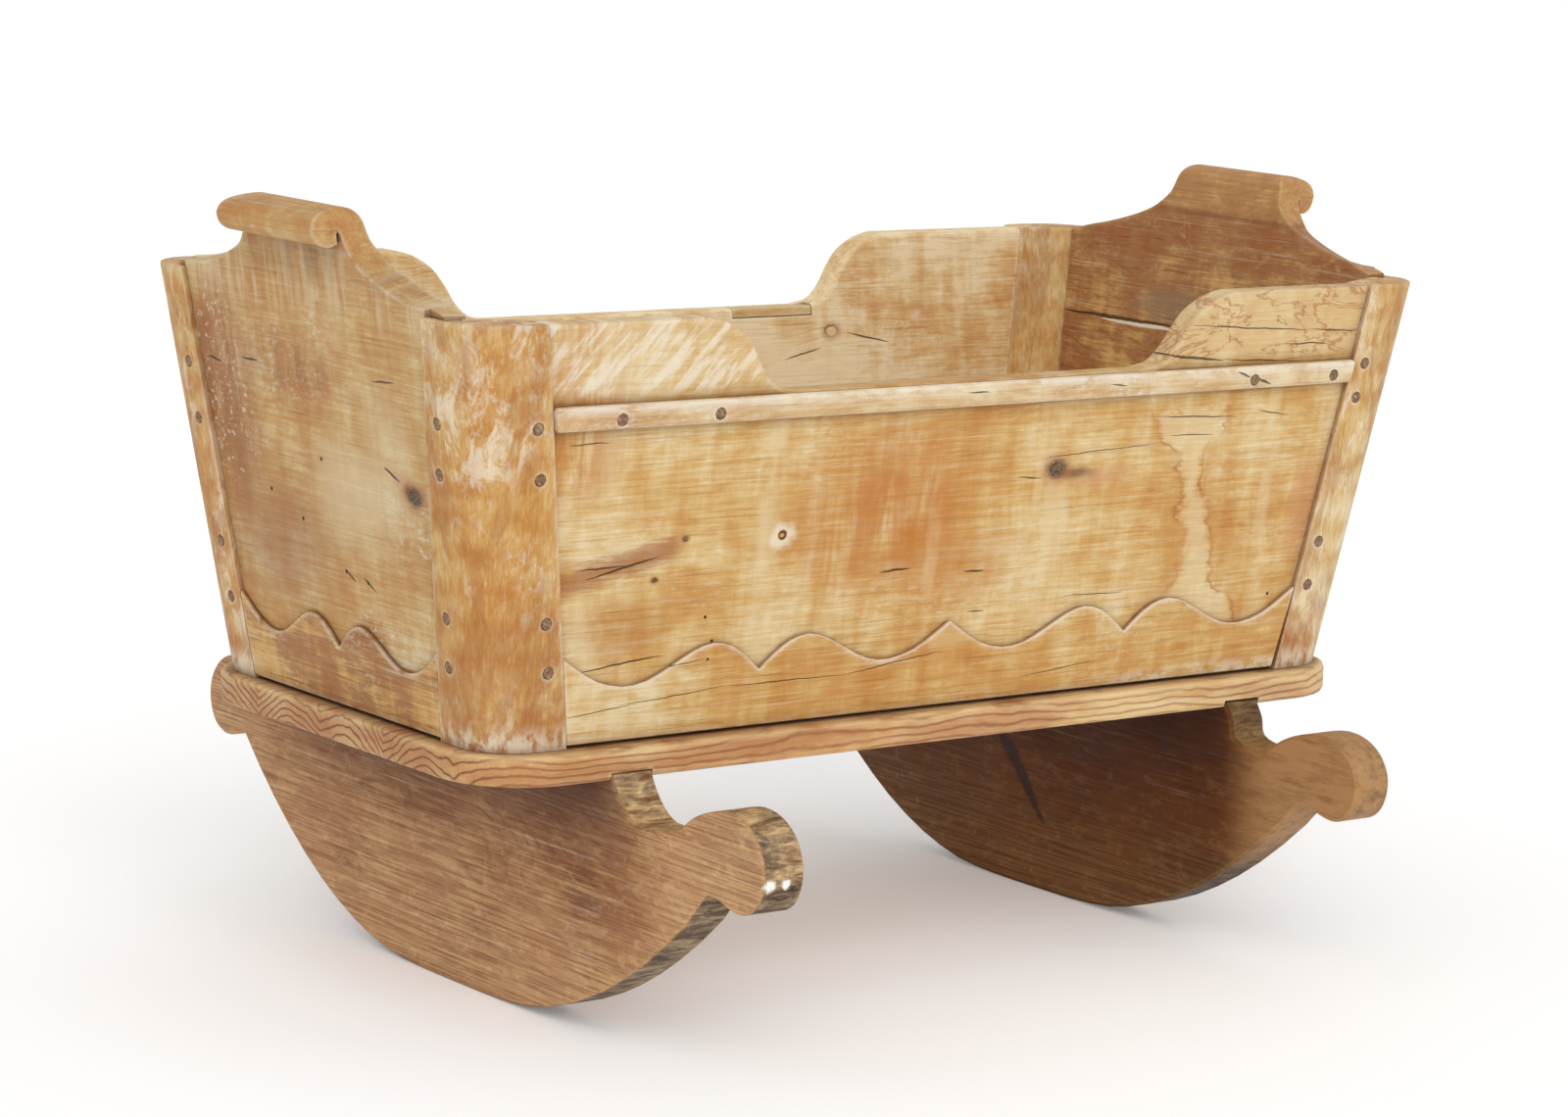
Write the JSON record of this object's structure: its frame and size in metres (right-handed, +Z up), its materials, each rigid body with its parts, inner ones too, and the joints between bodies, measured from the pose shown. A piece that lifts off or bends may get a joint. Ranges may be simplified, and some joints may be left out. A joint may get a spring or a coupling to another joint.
{
  "type": "baby cradle",
  "caption": "Old wooden rocking cradle: splayed box of wide boards in corner posts, rolled end handles, scalloped skirts, base board and two knobbed cross rockers.",
  "frame": {"origin": "on the floor, under the middle of the overall box of the whole cradle", "axes": "+X towards the head end, +Y towards the far side, +Z up"},
  "size_m": [0.9283, 0.765, 0.5755],
  "materials": {
    "board_birch": "stripped and worn, dry",
    "dark_birch": "stripped, darkened by handling",
    "post_birch": "stripped and worn, dry",
    "pine_base": "bare, soft sheen",
    "rocker_birch": "bare, red-brown, worn grey at the knobs",
    "peg_wood": "dark end grain"
  },
  "bodies": {
    "root": {"base_board": "pine_base", "foot_rocker": "rocker_birch", "head_rocker": "rocker_birch", "near_foot_post": "post_birch", "near_head_post": "post_birch", "far_foot_post": "post_birch", "far_head_post": "post_birch", "near_side_board": "board_birch", "far_side_board": "board_birch", "far_edge_patch": "board_birch", "foot_board": "board_birch", "head_board": "dark_birch", "near_side_skirt": "board_birch", "far_side_skirt": "board_birch", "foot_skirt": "board_birch", "head_skirt": "board_birch", "near_rail": "board_birch", "far_rail": "board_birch", "near_foot_side_peg_1": "peg_wood", "near_foot_side_peg_2": "peg_wood", "near_foot_side_peg_3": "peg_wood", "near_foot_side_peg_4": "peg_wood", "near_foot_end_peg_1": "peg_wood", "near_foot_end_peg_2": "peg_wood", "near_foot_end_peg_3": "peg_wood", "near_foot_end_peg_4": "peg_wood", "near_head_side_peg_1": "peg_wood", "near_head_side_peg_2": "peg_wood", "near_head_side_peg_3": "peg_wood", "near_head_side_peg_4": "peg_wood", "near_head_end_peg_1": "peg_wood", "near_head_end_peg_2": "peg_wood", "near_head_end_peg_3": "peg_wood", "near_head_end_peg_4": "peg_wood", "far_foot_side_peg_1": "peg_wood", "far_foot_side_peg_2": "peg_wood", "far_foot_side_peg_3": "peg_wood", "far_foot_side_peg_4": "peg_wood", "far_foot_end_peg_1": "peg_wood", "far_foot_end_peg_2": "peg_wood", "far_foot_end_peg_3": "peg_wood", "far_foot_end_peg_4": "peg_wood", "far_head_side_peg_1": "peg_wood", "far_head_side_peg_2": "peg_wood", "far_head_side_peg_3": "peg_wood", "far_head_side_peg_4": "peg_wood", "far_head_end_peg_1": "peg_wood", "far_head_end_peg_2": "peg_wood", "far_head_end_peg_3": "peg_wood", "far_head_end_peg_4": "peg_wood", "near_rail_peg_1": "peg_wood", "near_rail_peg_2": "peg_wood", "near_rail_peg_3": "peg_wood", "near_rail_peg_4": "peg_wood", "far_rail_peg_1": "peg_wood", "far_rail_peg_2": "peg_wood", "far_rail_peg_3": "peg_wood", "far_rail_peg_4": "peg_wood", "far_rail_peg_5": "peg_wood"}
  },
  "joints": []
}
